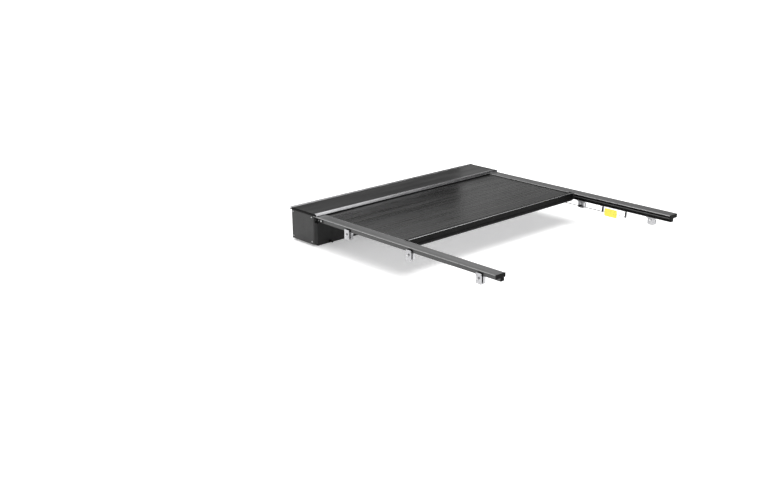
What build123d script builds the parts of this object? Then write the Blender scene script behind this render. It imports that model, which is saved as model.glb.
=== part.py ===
from build123d import *

import math
import os

# Retractable truck-bed cover (tonneau cover), modelled half open.
# Frame: the origin is under the middle of the cover, level with the underside of its canister.
# +X points to the right of the truck, +Y forward to the cab, +Z up. Everything is in millimetres.
# A canister across the front of the bed holds a motor-driven roller. A curtain of aluminium slats
# under a vinyl skin runs from the roller, out of the canister's mouth, along two side rails to a
# leading bar. A pull wire with a tag, on the right rail, lets the motor's clutch go by hand.

os.makedirs("parts", exist_ok=True)

# ---- Rails: driving dimensions ------------------------------------------------------------------
LENGTH = 1750.0  # rail ends to the front of the lid
RAIL_TOP = 200.0  # top face of the rails above the canister's underside
RAIL_INNER = 755.0  # half the clear width between the rails
RAIL_OUTER = 831.0
RAIL_WALL = 2.5
RAIL_BEAD_WIDTH = 2.0  # raised bead along the rail's outer edge
RAIL_BEAD_HEIGHT = 1.5
RAIL_CAP_THICK = 3.0
SLOT_HEIGHT = 14.0
WEB_INNER = 789.0  # inner face of the rail's down-web
WEB_OUTER = 792.0
FOOT_INNER = 765.0  # inner edge of the web's inward foot, which the clamps hang from
FOOT_TOP = 160.0
FOOT_BOTTOM = 157.0
SEAL_THICK = 3.0
SEAL_INNER = 797.0
SEAL_OUTER = 828.0
SEAL_GROOVE = 3.0
SEAL_GROOVE_PLACES = (802.0, 812.5, 823.0)

# ---- Clamps -------------------------------------------------------------------------------------
CLAMP_PLACES = (353.0, -187.0, -727.0)
CLAMP_SCREW_PLACES = (-28.0, 28.0)  # from the middle of each clamp
CLAMP_FLANGE_HALF = 33.0
CLAMP_BODY_HALF = 22.5
CLAMP_BODY_INNER = 769.0
CLAMP_FLANGE_BOTTOM = 152.0
CLAMP_BOTTOM = 109.0
JAW_INNER = 797.0
JAW_OUTER = 803.0
JAW_HALF = 20.0
JAW_TOP = 172.0
JAW_HEEL = 8.0
BOLT_Z = 140.0
BOLT_RADIUS = 4.0
BOLT_HOLE = 4.2
BOLT_HEAD = 6.0  # thickness of its head, and of its nut
BOLT_END = 813.0
HEX_ACROSS = 13.0
SCREW_RADIUS = 3.0
SCREW_HOLE = 3.2
SCREW_X = 780.0  # line of the screws through the rail's foot
JOINT_SCREW_Z = 170.0

# ---- Canister and lid ---------------------------------------------------------------------------
LID_DEPTH = 263.0
LID_HALF = 834.0
LID_TOP = 213.0
LID_SHEET = 2.5
LID_CAP_THICK = 8.0
EDGE_RISE = 4.0  # the lid's two metal edges stand this much above its vinyl
NOSE_DEPTH = 22.0
NOSE_SLOPE = 11.0  # the nose's rear face leans forward by this much
TRIM_DEPTH = 20.0
TRIM_LEG = 18.0
CAN_WALL = 3.0
MOUTH_SILL = 178.0
PLATE_THICK = 4.0
PLATE_TAB = 50.0
COVER_DEPTH = 30.0
COVER_WALL = 2.5
COVER_BOTTOM = 12.0
FOAM_SPAN = (60.0, 180.0)
DRAIN_PLACES = (-700.0, 700.0)
DRAIN_Z = 12.0
DRAIN_LENGTH = 25.0
DRAIN_RADIUS = 6.0
DRAIN_BORE = 4.0

# ---- Leading bar and curtain --------------------------------------------------------------------
BAR_REAR = -140.0  # rear face of the leading bar
BAR_DEPTH = 35.0
BAR_HEIGHT = 44.0
BAR_BAND = 31.0  # height of the flat upper band of its rear face
BAR_STEP = 3.0
BAR_GAP = (2.0, 3.0)  # depth and height of the groove under the bright bead
BAR_HALF = 742.0
BAR_CAP_HALF = 752.0
BAR_TRIM_DEPTH = 6.0
CURTAIN_TOP = 195.0
CURTAIN_HALF = 783.0
SKIN_THICK = 1.5
SLAT_THICK = 7.5
SLAT_COUNT = 32

# ---- Roller and motor ---------------------------------------------------------------------------
ROLLER_Y = 757.0
ROLLER_Z = 125.0
TUBE_RADIUS = 32.0
TUBE_WALL = 3.0
TUBE_RIGHT = 772.0
ROLL_PITCH = 9.6  # growth of the roll's radius in one turn
ROLL_BAND = 9.0
MOTOR_RADIUS = 22.5
MOTOR_HEAD_RADIUS = 30.0
MOTOR_LEFT = 300.0
MOTOR_SHAFT = 8.0
AXLE_RADIUS = 10.0
BEARING_RADIUS = 18.0
RUNNING_FIT = 0.06
CASE_SPAN = (-250.0, -50.0)  # control case, along X
CASE_PLACE = (700.0, 800.0)
CASE_WALL = 3.0
CASE_TOP = 30.0

# ---- Hand release -------------------------------------------------------------------------------
CABLE_X = 762.0
CABLE_Z = 123.0
CLUTCH_X = 808.0
LEVER_ARM = 33.0
SPINDLE_RADIUS = 6.0
WIRE_RADIUS = 0.9
SHEATH_RADIUS = 2.5
FERRULE_RADIUS = 4.0
GUIDE_RADIUS = 3.2
FERRULE = (-382.0, -349.0)  # along the truck, at the rear end of the sheath
TAG = (-481.0, -384.0)
TAG_HEIGHT = (99.0, 151.0)
CRIMP = (-522.0, -490.0)
GUIDE = (-553.0, -536.0)

# ---- Dimensions worked out from them ------------------------------------------------------------
REAR = -LENGTH / 2
FRONT = LENGTH / 2
RAIL_END = REAR + RAIL_CAP_THICK
BEAD_TOP = RAIL_TOP + RAIL_BEAD_HEIGHT
SLOT_TOP = RAIL_TOP - RAIL_WALL
SLOT_BOTTOM = SLOT_TOP - SLOT_HEIGHT
FLANGE_BOTTOM = SLOT_BOTTOM - RAIL_WALL
SEAL_BOTTOM = SLOT_TOP - SEAL_THICK

LID_REAR = FRONT - LID_DEPTH
CAN_REAR = LID_REAR + 28  # rear face of the canister's housing
CAN_FRONT = FRONT - 8
CAN_TOP = LID_TOP - 4  # underside of the lid
PLATE_INNER = WEB_OUTER  # bearing plates stand in line with the outside of the rails' webs
PLATE_OUTER = PLATE_INNER + PLATE_THICK
COVER_OUTER = PLATE_OUTER + COVER_DEPTH
COVER_SPAN = (CAN_REAR + 1, CAN_FRONT)
NOSE_HALF = LID_HALF - LID_CAP_THICK
LID_SPAN = (LID_REAR + NOSE_DEPTH, FRONT - TRIM_DEPTH)
JOINT_SCREWS = (CAN_REAR - 38, CAN_REAR - 15)

BAR_FRONT = BAR_REAR + BAR_DEPTH
BAR_TOP = RAIL_TOP + 5
BAR_BOTTOM = BAR_TOP - BAR_HEIGHT
BAR_TRIM_SPAN = (BAR_REAR + BAR_STEP, BAR_REAR + BAR_STEP + BAR_TRIM_DEPTH)
SLAT_TOP = CURTAIN_TOP - SKIN_THICK
SLAT_BOTTOM = SLAT_TOP - SLAT_THICK
SLAT_PITCH = (ROLLER_Y - BAR_FRONT) / SLAT_COUNT
GUIDE_TOP = SLAT_BOTTOM - 0.5

TUBE_BORE = TUBE_RADIUS - TUBE_WALL
TUBE_LEFT = -CURTAIN_HALF
PIN_Z = ROLLER_Z + LEVER_ARM
LEVER = (PLATE_OUTER + 3, PLATE_OUTER + 7)  # the clutch lever's thickness, along X
FRONT_FERRULE = (CAN_REAR - 8, CAN_REAR + 20)
SHEATH_ROUTE = [
    (CLUTCH_X, FRONT_FERRULE[0], PIN_Z),
    (CLUTCH_X, 575, PIN_Z),
    (798, 515, 138),
    (774, 460, CABLE_Z),
    (CABLE_X, 405, CABLE_Z),
    (CABLE_X, FERRULE[1], CABLE_Z),
]


# ---- Shared helpers -----------------------------------------------------------------------------
def save(part, name):
    """Label one finished piece and write it under its own name."""
    part.label = name
    export_step(part, f"parts/{name}.step")


def save_pair(part, name):
    """Write a right-hand piece, and its mirror image as the left-hand one."""
    save(part, f"{name}_right")
    save(mirror(part, about=Plane.YZ), f"{name}_left")


def save_group(solids, name):
    """Write several separate solids as one node."""
    save(Compound(children=solids), name)


def mirrored(solids):
    """The mirror images of right-hand solids."""
    return [mirror(solid, about=Plane.YZ) for solid in solids]


def block(x, y, z, mode=Mode.ADD):
    """A box between the limits x = (low, high), y and z, in the open part."""
    with Locations(((x[0] + x[1]) / 2, (y[0] + y[1]) / 2, (z[0] + z[1]) / 2)):
        Box(x[1] - x[0], y[1] - y[0], z[1] - z[0], mode=mode)


def rod_x(radius, x, y, z, mode=Mode.ADD):
    """A round bar along X between the limits x = (low, high)."""
    with Locations(((x[0] + x[1]) / 2, y, z)):
        Cylinder(radius, x[1] - x[0], rotation=(0, 90, 0), mode=mode)


def rod_y(radius, x, y, z, mode=Mode.ADD):
    """A round bar along Y between the limits y = (low, high)."""
    with Locations((x, (y[0] + y[1]) / 2, z)):
        Cylinder(radius, y[1] - y[0], rotation=(90, 0, 0), mode=mode)


def rod_z(radius, x, y, z, mode=Mode.ADD):
    """A round bar along Z between the limits z = (low, high)."""
    with Locations((x, y, (z[0] + z[1]) / 2)):
        Cylinder(radius, z[1] - z[0], mode=mode)


def across(half):
    """Plane across the truck's width at the left end of a piece that is 2 * half long."""
    return Plane.YZ.offset(-half)


# ---- Side rails ---------------------------------------------------------------------------------
def make_rail():
    """The extrusion: a flat top over the curtain's slot, and a web down to an inward foot."""
    outline = [
        (RAIL_INNER, RAIL_TOP),
        (RAIL_OUTER - RAIL_BEAD_WIDTH, RAIL_TOP),
        (RAIL_OUTER - RAIL_BEAD_WIDTH, BEAD_TOP),
        (RAIL_OUTER, BEAD_TOP),
        (RAIL_OUTER, SLOT_TOP),
        (WEB_OUTER, SLOT_TOP),
        (WEB_OUTER, FOOT_BOTTOM),
        (FOOT_INNER, FOOT_BOTTOM),
        (FOOT_INNER, FOOT_TOP),
        (WEB_INNER, FOOT_TOP),
        (WEB_INNER, FLANGE_BOTTOM),
        (RAIL_INNER, FLANGE_BOTTOM),
        (RAIL_INNER, SLOT_BOTTOM),
        (WEB_INNER, SLOT_BOTTOM),
        (WEB_INNER, SLOT_TOP),
        (RAIL_INNER, SLOT_TOP),
    ]
    with BuildPart() as rail:
        with BuildSketch(Plane.XZ.offset(-CAN_REAR)):
            with BuildLine():
                Polyline(*outline, close=True)
            make_face()
        extrude(amount=CAN_REAR - RAIL_END)
        long_edges = rail.edges().filter_by(Axis.Y)
        top_inner = long_edges.group_by(Axis.X)[0].sort_by(Axis.Z)[-1]
        top_outer = long_edges.group_by(Axis.X)[-1].sort_by(Axis.Z)[-1]
        fillet([top_inner, top_outer], 1.0)
        for y in CLAMP_PLACES:
            for side in CLAMP_SCREW_PLACES:
                rod_z(SCREW_HOLE, SCREW_X, y + side, (FOOT_BOTTOM, FOOT_TOP), mode=Mode.SUBTRACT)
        for y in JOINT_SCREWS:
            rod_x(SCREW_HOLE, (WEB_INNER, WEB_OUTER), y, JOINT_SCREW_Z, mode=Mode.SUBTRACT)
    return rail.part


def make_rail_end_cap():
    """The moulded cap on the rail's rear end, as wide as the rail above and as its foot below."""
    shoulder = SLOT_BOTTOM - 6
    with BuildPart() as cap:
        block((RAIL_INNER, RAIL_OUTER), (REAR, RAIL_END), (shoulder, BEAD_TOP))
        block((FOOT_INNER, WEB_OUTER), (REAR, RAIL_END), (FOOT_BOTTOM, shoulder))
        fillet(cap.edges().filter_by(Axis.Y).group_by(Axis.X)[-1].sort_by(Axis.Z)[-1], 4)
    return cap.part


def make_rail_seal():
    """A ribbed rubber strip between the rail and the truck's own bed rail."""
    span = (RAIL_END, CAN_REAR - PLATE_TAB)
    half = SEAL_GROOVE / 2
    with BuildPart() as seal:
        block((SEAL_INNER, SEAL_OUTER), span, (SEAL_BOTTOM, SLOT_TOP))
        for x in SEAL_GROOVE_PLACES:
            block((x - half, x + half), span, (SEAL_BOTTOM, SEAL_BOTTOM + 1), Mode.SUBTRACT)
    return seal.part


# ---- Rail clamps --------------------------------------------------------------------------------
def make_clamp_body(y):
    """The clamp's inner half: a flange screwed to the rail's foot, over a block behind the web."""
    flange = (CLAMP_FLANGE_BOTTOM, FOOT_BOTTOM)
    with BuildPart() as body:
        block((FOOT_INNER + 2, WEB_OUTER), (y - CLAMP_FLANGE_HALF, y + CLAMP_FLANGE_HALF), flange)
        block(
            (CLAMP_BODY_INNER, WEB_INNER),
            (y - CLAMP_BODY_HALF, y + CLAMP_BODY_HALF),
            (CLAMP_BOTTOM, CLAMP_FLANGE_BOTTOM),
        )
        for side in CLAMP_SCREW_PLACES:
            rod_z(SCREW_HOLE, SCREW_X, y + side, flange, mode=Mode.SUBTRACT)
        rod_x(BOLT_HOLE, (CLAMP_BODY_INNER, WEB_INNER), y, BOLT_Z, mode=Mode.SUBTRACT)
        fillet(body.edges().filter_by(Axis.X).group_by(Axis.Z)[0], 5)
    return body.part


def make_clamp_jaw(y):
    """The outer jaw: its heel bears on the body and its top pinches the bed rail's lip."""
    span = (y - JAW_HALF, y + JAW_HALF)
    with BuildPart() as jaw:
        block((JAW_INNER, JAW_OUTER), span, (CLAMP_BOTTOM, JAW_TOP))
        block((WEB_INNER, JAW_INNER), span, (CLAMP_BOTTOM, CLAMP_BOTTOM + JAW_HEEL))
        rod_x(BOLT_HOLE, (JAW_INNER, JAW_OUTER), y, BOLT_Z, mode=Mode.SUBTRACT)
        chamfer(jaw.edges().filter_by(Axis.Y).group_by(Axis.Z)[-1], 1.5)
    return jaw.part


def make_clamp_bolt(y):
    with BuildPart() as bolt:
        rod_x(BOLT_RADIUS, (CLAMP_BODY_INNER, BOLT_END), y, BOLT_Z)
        with BuildSketch(Plane.YZ.offset(CLAMP_BODY_INNER - BOLT_HEAD)):
            with Locations((y, BOLT_Z)):
                RegularPolygon(HEX_ACROSS / 2, 6, major_radius=False)
        extrude(amount=BOLT_HEAD)
    return bolt.part


def make_clamp_nut(y):
    with BuildPart() as nut:
        with BuildSketch(Plane.YZ.offset(JAW_OUTER)):
            with Locations((y, BOLT_Z)):
                RegularPolygon(HEX_ACROSS / 2, 6, major_radius=False)
                Circle(BOLT_RADIUS, mode=Mode.SUBTRACT)
        extrude(amount=BOLT_HEAD)
    return nut.part


def make_clamp_screw(y):
    with BuildPart() as screw:
        rod_z(SCREW_RADIUS, SCREW_X, y, (CLAMP_FLANGE_BOTTOM, FOOT_TOP + 1))
        rod_z(5.0, SCREW_X, y, (CLAMP_FLANGE_BOTTOM - 5, CLAMP_FLANGE_BOTTOM))
    return screw.part


# ---- Canister -----------------------------------------------------------------------------------
def make_housing():
    """The canister's trough: rear wall, floor and front wall, bent from one sheet."""
    width = (-PLATE_INNER, PLATE_INNER)
    rear_wall = (CAN_REAR, CAN_REAR + CAN_WALL)
    with BuildPart() as housing:
        block(width, (CAN_REAR, CAN_FRONT), (0, CAN_TOP))
        block(width, (CAN_REAR + CAN_WALL, CAN_FRONT - CAN_WALL), (CAN_WALL, CAN_TOP), Mode.SUBTRACT)
        block(width, rear_wall, (MOUTH_SILL, CAN_TOP), Mode.SUBTRACT)
        fillet(housing.edges().filter_by(Axis.X).group_by(Axis.Z)[0], 2.5)
        for x in DRAIN_PLACES:
            rod_y(DRAIN_BORE, x, rear_wall, DRAIN_Z, mode=Mode.SUBTRACT)
    return housing.part


def make_drain_spigot(x):
    with BuildPart() as spigot:
        rod_y(DRAIN_RADIUS, x, (CAN_REAR - DRAIN_LENGTH, CAN_REAR), DRAIN_Z)
        rod_y(DRAIN_RADIUS + 2, x, (CAN_REAR - 3, CAN_REAR), DRAIN_Z)
        rod_y(DRAIN_BORE, x, (CAN_REAR - DRAIN_LENGTH, CAN_REAR), DRAIN_Z, mode=Mode.SUBTRACT)
    return spigot.part


def make_mouth_guide():
    """The rounded plastic sill that the curtain slides over."""
    depth = 14.0
    with BuildPart() as guide:
        block((-CURTAIN_HALF, CURTAIN_HALF), (CAN_REAR, CAN_REAR + depth), (MOUTH_SILL, GUIDE_TOP))
        fillet(guide.edges().filter_by(Axis.X).group_by(Axis.Z)[-1], 3.5)
    return guide.part


def make_wiper():
    """The rubber lip under the lid that wipes the top of the curtain."""
    half = RAIL_INNER - 1
    rear = LID_REAR + NOSE_DEPTH
    foot = CAN_TOP - 3
    tip = CURTAIN_TOP + 0.5
    outline = [
        (rear, CAN_TOP),
        (rear + 12, CAN_TOP),
        (rear + 12, foot),
        (rear + 5, foot),
        (rear + 2, tip),
        (rear, tip),
    ]
    with BuildPart() as wiper:
        with BuildSketch(across(half)):
            with BuildLine():
                Polyline(*outline, close=True)
            make_face()
        extrude(amount=2 * half)
    return wiper.part


def make_bearing_plate(bore):
    """An end plate of the canister, with a tab at the back that is screwed to the rail's web."""
    thick = (PLATE_INNER, PLATE_OUTER)
    with BuildPart() as plate:
        block(thick, (CAN_REAR, CAN_FRONT), (0, CAN_TOP))
        block(thick, (CAN_REAR - PLATE_TAB, CAN_REAR), (FOOT_TOP, SEAL_BOTTOM))
        rod_x(bore, thick, ROLLER_Y, ROLLER_Z, mode=Mode.SUBTRACT)
        for y in JOINT_SCREWS:
            rod_x(SCREW_HOLE, thick, y, JOINT_SCREW_Z, mode=Mode.SUBTRACT)
    return plate.part


def make_joint_screw(y):
    with BuildPart() as screw:
        rod_x(SCREW_RADIUS, (WEB_INNER - 3, PLATE_OUTER), y, JOINT_SCREW_Z)
        rod_x(5.5, (PLATE_OUTER, PLATE_OUTER + 3.5), y, JOINT_SCREW_Z)
    return screw.part


def make_end_cover():
    """A moulded cover over the outside of a bearing plate, open towards the plate."""
    inside_y = (COVER_SPAN[0] + COVER_WALL, COVER_SPAN[1] - COVER_WALL)
    inside_z = (COVER_BOTTOM + COVER_WALL, CAN_TOP - COVER_WALL)
    with BuildPart() as cover:
        block((PLATE_OUTER, COVER_OUTER), COVER_SPAN, (COVER_BOTTOM, CAN_TOP))
        fillet(cover.edges().group_by(Axis.X)[-1].filter_by(Axis.Z), 8)
        block((PLATE_OUTER, COVER_OUTER - COVER_WALL), inside_y, inside_z, Mode.SUBTRACT)
        rod_y(FERRULE_RADIUS + 0.1, CLUTCH_X, (COVER_SPAN[0], inside_y[0]), PIN_Z, mode=Mode.SUBTRACT)
    return cover.part


def make_cover_screw(y, z):
    """A round-headed screw with a socket, in the face of an end cover."""
    head = (COVER_OUTER, COVER_OUTER + 2.5)
    with BuildPart() as screw:
        rod_x(4.0, head, y, z)
        rod_x(1.6, (head[0] + 1, head[1]), y, z, mode=Mode.SUBTRACT)
        fillet(screw.edges().group_by(Axis.X)[-1].sort_by(SortBy.RADIUS)[-1], 1)
    return screw.part


# ---- Lid ----------------------------------------------------------------------------------------
def make_lid_panel():
    with BuildPart() as panel:
        block((-NOSE_HALF, NOSE_HALF), LID_SPAN, (CAN_TOP, CAN_TOP + LID_SHEET))
    return panel.part


def make_lid_skin():
    with BuildPart() as skin:
        block((-NOSE_HALF, NOSE_HALF), LID_SPAN, (CAN_TOP + LID_SHEET, LID_TOP))
    return skin.part


def make_lid_nose():
    """The extrusion along the lid's rear edge: a sloping, rounded face, and a groove underneath."""
    bottom = RAIL_TOP + 1
    top = LID_TOP + EDGE_RISE
    front = LID_SPAN[0]
    outline = [
        (LID_REAR, bottom),
        (front, bottom),
        (front, top),
        (LID_REAR + NOSE_SLOPE, top),
        (LID_REAR, bottom + 3),
    ]
    with BuildPart() as nose:
        with BuildSketch(across(NOSE_HALF)):
            with BuildLine():
                Polyline(*outline, close=True)
            make_face()
        extrude(amount=2 * NOSE_HALF)
        long_edges = nose.edges().filter_by(Axis.X)
        rear_edges = long_edges.group_by(Axis.Y)[0]
        ridge = long_edges.group_by(Axis.Z)[-1].sort_by(Axis.Y)[0]
        fillet(ridge, 8)
        fillet(rear_edges.sort_by(Axis.Z)[-1], 3)
        block((-NOSE_HALF, NOSE_HALF), (LID_REAR + 8, front - 3), (bottom, bottom + 6), Mode.SUBTRACT)
    return nose.part


def make_lid_front_trim():
    """The extrusion along the lid's front edge: it slopes up from the vinyl and turns down at the front."""
    top = LID_TOP + EDGE_RISE
    outline = [
        (LID_SPAN[1], CAN_TOP),
        (LID_SPAN[1], LID_TOP + 0.5),
        (CAN_FRONT, top),
        (FRONT, top),
        (FRONT, top - TRIM_LEG),
        (CAN_FRONT, top - TRIM_LEG),
        (CAN_FRONT, CAN_TOP),
    ]
    with BuildPart() as trim:
        with BuildSketch(across(LID_HALF)):
            with BuildLine():
                Polyline(*outline, close=True)
            make_face()
        extrude(amount=2 * LID_HALF)
        top_edges = trim.edges().filter_by(Axis.X).group_by(Axis.Z)[-1]
        fillet(top_edges.sort_by(Axis.Y)[-1], 3)
    return trim.part


def make_lid_end_cap():
    with BuildPart() as cap:
        block((NOSE_HALF, LID_HALF), (LID_REAR, LID_SPAN[1]), (RAIL_TOP + 1.7, LID_TOP + 1.5))
        fillet(cap.edges().group_by(Axis.X)[-1].filter_by(Axis.Y).sort_by(Axis.Z)[-1], 4)
        fillet(cap.edges().filter_by(Axis.Z).group_by(Axis.Y)[0], 3)
    return cap.part


def make_bulkhead_seal():
    """A foam strip between the canister and the front wall of the bed."""
    with BuildPart() as seal:
        block((-PLATE_INNER, PLATE_INNER), (CAN_FRONT, FRONT - 2), FOAM_SPAN)
        fillet(seal.edges().group_by(Axis.Y)[-1], 2)
    return seal.part


# ---- Roller and motor ---------------------------------------------------------------------------
def make_roller_tube():
    with BuildPart() as tube:
        rod_x(TUBE_RADIUS, (TUBE_LEFT, TUBE_RIGHT), ROLLER_Y, ROLLER_Z)
        rod_x(TUBE_BORE, (TUBE_LEFT, TUBE_RIGHT), ROLLER_Y, ROLLER_Z, mode=Mode.SUBTRACT)
    return tube.part


def make_idler_plug():
    """The plug in the tube's left end, with the stub axle that turns in the bearing."""
    with BuildPart() as plug:
        rod_x(TUBE_BORE, (TUBE_LEFT, TUBE_LEFT + 22), ROLLER_Y, ROLLER_Z)
        rod_x(AXLE_RADIUS, (-PLATE_OUTER - 14, TUBE_LEFT), ROLLER_Y, ROLLER_Z)
        rod_x(AXLE_RADIUS + 4, (TUBE_LEFT - 3, TUBE_LEFT), ROLLER_Y, ROLLER_Z)
        chamfer(plug.edges().filter_by(GeomType.CIRCLE).group_by(Axis.X)[0], 1)
    return plug.part


def make_axle_bearing():
    span = (-PLATE_OUTER - 4, -PLATE_INNER + 4)
    with BuildPart() as bearing:
        rod_x(BEARING_RADIUS, span, ROLLER_Y, ROLLER_Z)
        rod_x(AXLE_RADIUS + RUNNING_FIT, span, ROLLER_Y, ROLLER_Z, mode=Mode.SUBTRACT)
    return bearing.part


def make_drive_crown():
    """The wheel that the motor turns, and the shaft it is turned by."""
    wheel = (MOTOR_LEFT - 30, MOTOR_LEFT - 2)
    hole_circle = 19.0
    with BuildPart() as crown:
        rod_x(TUBE_BORE, wheel, ROLLER_Y, ROLLER_Z)
        for angle in (math.radians(45 + 90 * turn) for turn in range(4)):
            hole_y = ROLLER_Y + hole_circle * math.cos(angle)
            hole_z = ROLLER_Z + hole_circle * math.sin(angle)
            rod_x(7.0, wheel, hole_y, hole_z, mode=Mode.SUBTRACT)
        rod_x(MOTOR_SHAFT, (MOTOR_LEFT - 2, MOTOR_LEFT + 28), ROLLER_Y, ROLLER_Z)
    return crown.part


def make_motor():
    """The tubular motor with its gearbox and clutch. Its head is fixed to the right bearing plate."""
    head = (TUBE_RIGHT + 6, PLATE_INNER)
    shaft = (MOTOR_LEFT, MOTOR_LEFT + 30)
    spindle = (head[1] - 10, head[1])
    with BuildPart() as motor:
        rod_x(MOTOR_RADIUS, (MOTOR_LEFT, head[0]), ROLLER_Y, ROLLER_Z)
        rod_x(MOTOR_HEAD_RADIUS, head, ROLLER_Y, ROLLER_Z)
        rod_x(MOTOR_SHAFT + RUNNING_FIT, shaft, ROLLER_Y, ROLLER_Z, mode=Mode.SUBTRACT)
        rod_x(SPINDLE_RADIUS + RUNNING_FIT, spindle, ROLLER_Y, ROLLER_Z, mode=Mode.SUBTRACT)
    return motor.part


def make_motor_ring():
    """The ring in the tube's right end that runs on the motor's body."""
    span = (TUBE_RIGHT - 20, TUBE_RIGHT)
    with BuildPart() as ring:
        rod_x(TUBE_BORE, span, ROLLER_Y, ROLLER_Z)
        rod_x(MOTOR_RADIUS + RUNNING_FIT, span, ROLLER_Y, ROLLER_Z, mode=Mode.SUBTRACT)
    return ring.part


def spiral_arcs(grow):
    """Centre, radius, start angle and arc size of each half turn of the roll, inside outwards."""
    start = TUBE_RADIUS + 0.3 + grow
    arcs = []
    for half in range(5):
        centre_y = ROLLER_Y + (ROLL_PITCH / 2 if half % 2 else 0)
        size = 90 if half == 4 else 180
        arcs.append(((centre_y, ROLLER_Z), start + half * ROLL_PITCH / 2, 180 * (half % 2), size))
    return arcs


def make_curtain_roll():
    """The wound part of the curtain, two and a quarter turns round the tube."""
    with BuildPart() as roll:
        with BuildSketch(across(CURTAIN_HALF)):
            with BuildLine():
                inner = [CenterArc(*arc) for arc in spiral_arcs(0)]
                outer = [CenterArc(*arc) for arc in spiral_arcs(ROLL_BAND)]
                Line(inner[0] @ 0, outer[0] @ 0)
                Line(inner[-1] @ 1, outer[-1] @ 1)
            make_face()
        extrude(amount=2 * CURTAIN_HALF)
    return roll.part


def make_control_case():
    inside_x = (CASE_SPAN[0] + CASE_WALL, CASE_SPAN[1] - CASE_WALL)
    inside_y = (CASE_PLACE[0] + CASE_WALL, CASE_PLACE[1] - CASE_WALL)
    with BuildPart() as case:
        block(CASE_SPAN, CASE_PLACE, (CAN_WALL, CASE_TOP))
        block(inside_x, inside_y, (CAN_WALL + CASE_WALL, CASE_TOP), Mode.SUBTRACT)
    return case.part


def make_control_lid():
    with BuildPart() as lid:
        block(CASE_SPAN, CASE_PLACE, (CASE_TOP, CASE_TOP + CASE_WALL))
        fillet(lid.edges().group_by(Axis.Z)[-1], 1.5)
    return lid.part


def make_power_gland():
    """The grommet in the left end cover that a power lead would come through."""
    inner_end = COVER_SPAN[0] + COVER_WALL
    with BuildPart() as gland:
        rod_y(7.0, -CLUTCH_X, (CAN_REAR - 16, COVER_SPAN[0]), PIN_Z)
        rod_y(FERRULE_RADIUS, -CLUTCH_X, (COVER_SPAN[0], inner_end), PIN_Z)
        rod_y(3.0, -CLUTCH_X, (CAN_REAR - 16, inner_end), PIN_Z, mode=Mode.SUBTRACT)
    return gland.part


# ---- Leading bar --------------------------------------------------------------------------------
def make_leading_bar():
    """A hollow extrusion. Its rear face has a groove, a flat band, and a lower lip that stands proud."""
    band_rear = BAR_REAR + BAR_STEP
    step = BAR_TOP - BAR_BAND
    gap_depth, gap_height = BAR_GAP
    outline = [
        (band_rear + gap_depth, BAR_TOP),
        (band_rear + gap_depth, BAR_TOP - gap_height),
        (band_rear, BAR_TOP - gap_height),
        (band_rear, step),
        (BAR_REAR, step - BAR_STEP),
        (BAR_REAR, BAR_BOTTOM),
        (BAR_FRONT, BAR_BOTTOM),
        (BAR_FRONT, BAR_TOP - 4),
        (BAR_FRONT - 8, BAR_TOP),
    ]
    with BuildPart() as bar:
        with BuildSketch(across(BAR_HALF)):
            with BuildLine():
                Polyline(*outline, close=True)
            make_face()
            with Locations((BAR_FRONT - 16, BAR_BOTTOM + 12)):
                RectangleRounded(26, 18, 2, mode=Mode.SUBTRACT)
            with Locations((BAR_FRONT - 16.5, BAR_TOP - 12)):
                RectangleRounded(22, 14, 2, mode=Mode.SUBTRACT)
        extrude(amount=2 * BAR_HALF)
    return bar.part


def make_bar_trim():
    """The thin bright bead along the bar's top rear edge, from one rail to the other."""
    with BuildPart() as trim:
        block((-BAR_CAP_HALF, BAR_CAP_HALF), BAR_TRIM_SPAN, (BAR_TOP, BAR_TOP + 1.5))
        fillet(trim.edges().filter_by(Axis.X).group_by(Axis.Z)[-1], 1)
    return trim.part


def make_bar_end_cap():
    """The bar's moulded end, a little higher than the bar except where the bead crosses it."""
    top = BAR_TOP + 2
    with BuildPart() as cap:
        block((BAR_HALF, BAR_CAP_HALF), (BAR_REAR, BAR_FRONT), (BAR_BOTTOM, top))
        fillet(cap.edges().group_by(Axis.X)[-1], 3)
        block((BAR_HALF, BAR_CAP_HALF), (BAR_REAR, BAR_TRIM_SPAN[1]), (BAR_TOP, top), Mode.SUBTRACT)
    return cap.part


def make_glide():
    """The shoe that runs in the rail's slot."""
    with BuildPart() as glide:
        block((BAR_CAP_HALF, WEB_INNER - 2), (BAR_REAR + 2, BAR_FRONT), (SLOT_BOTTOM + 1, SLOT_TOP - 1))
        fillet(glide.edges().group_by(Axis.X)[-1], 3)
    return glide.part


def make_tailgate_seal():
    """The rubber bulb under the bar's rear edge, which meets the tailgate when the cover is shut."""
    with BuildPart() as seal:
        with BuildSketch(across(BAR_HALF)):
            with Locations((BAR_REAR + 6, BAR_BOTTOM - 3.5)):
                RectangleRounded(10, 7, 2.5)
                Circle(1.8, mode=Mode.SUBTRACT)
        extrude(amount=2 * BAR_HALF)
    return seal.part


# ---- Curtain ------------------------------------------------------------------------------------
def make_curtain_skin():
    with BuildPart() as skin:
        block((-CURTAIN_HALF, CURTAIN_HALF), (BAR_FRONT, ROLLER_Y), (SLAT_TOP, CURTAIN_TOP))
    return skin.part


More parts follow.
